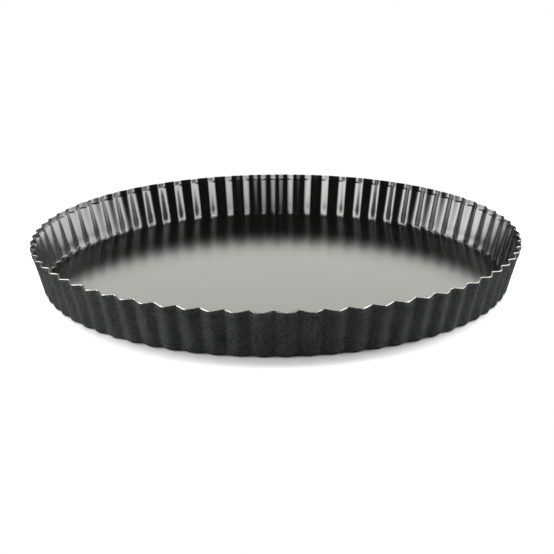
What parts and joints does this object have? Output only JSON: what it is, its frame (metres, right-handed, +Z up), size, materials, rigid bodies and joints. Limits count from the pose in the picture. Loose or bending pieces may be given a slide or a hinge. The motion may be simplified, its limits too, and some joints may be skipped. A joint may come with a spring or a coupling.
{
  "type": "pie pan",
  "caption": "Shallow round pie pan of coated sheet steel: a flat floor, a fluted wall that leans outward and a plain trimmed rim, for baking pies, tarts and quiches.",
  "frame": {"origin": "centre of the underside, on the face that the pan stands on", "axes": "+Z up through the open top; a flute crest stands on +X"},
  "size_m": [0.28, 0.28, 0.026],
  "materials": {
    "steel": "bare cut edge",
    "lining": "smooth satin non-stick",
    "coating": "finely textured satin"
  },
  "bodies": {
    "root": {"steel_pressing": "steel", "nonstick_lining": "lining", "outer_coating": "coating"}
  },
  "joints": []
}
